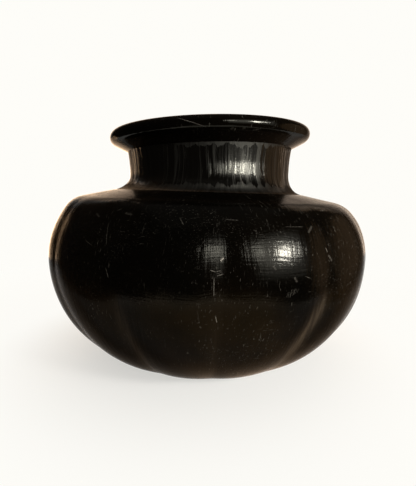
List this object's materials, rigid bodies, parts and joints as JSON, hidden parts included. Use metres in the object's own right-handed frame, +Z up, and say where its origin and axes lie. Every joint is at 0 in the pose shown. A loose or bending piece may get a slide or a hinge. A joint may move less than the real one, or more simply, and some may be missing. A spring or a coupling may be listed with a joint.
{
  "type": "pottery jar",
  "caption": "Wide hand-built jar of dark burnished earthenware with a softly lobed melon belly, a short upright neck, a rolled everted rim and a flat base.",
  "frame": {"origin": "centre of the flat base, on the surface the jar stands on", "axes": "+Z up along the jar's axis, -Y towards the viewer of the picture, +X to the viewer's right"},
  "size_m": [0.294, 0.294, 0.2099],
  "materials": {
    "burnished_clay": "stone-burnished black slip, glossy with fine strokes and scratches",
    "neck_clay": "black slip burnished in upright strokes, with dull grey bands above and below them",
    "base_clay": "burnished outside, worn and dull where it stands"
  },
  "bodies": {
    "root": {"base_pat": "base_clay", "wall_coil_1": "burnished_clay", "wall_coil_2": "burnished_clay", "wall_coil_3": "burnished_clay", "wall_coil_4": "burnished_clay", "wall_coil_5": "burnished_clay", "wall_coil_6": "burnished_clay", "shoulder_coil_1": "burnished_clay", "shoulder_coil_2": "burnished_clay", "neck_coil_1": "neck_clay", "neck_coil_2": "neck_clay", "rim_coil": "burnished_clay"}
  },
  "joints": []
}
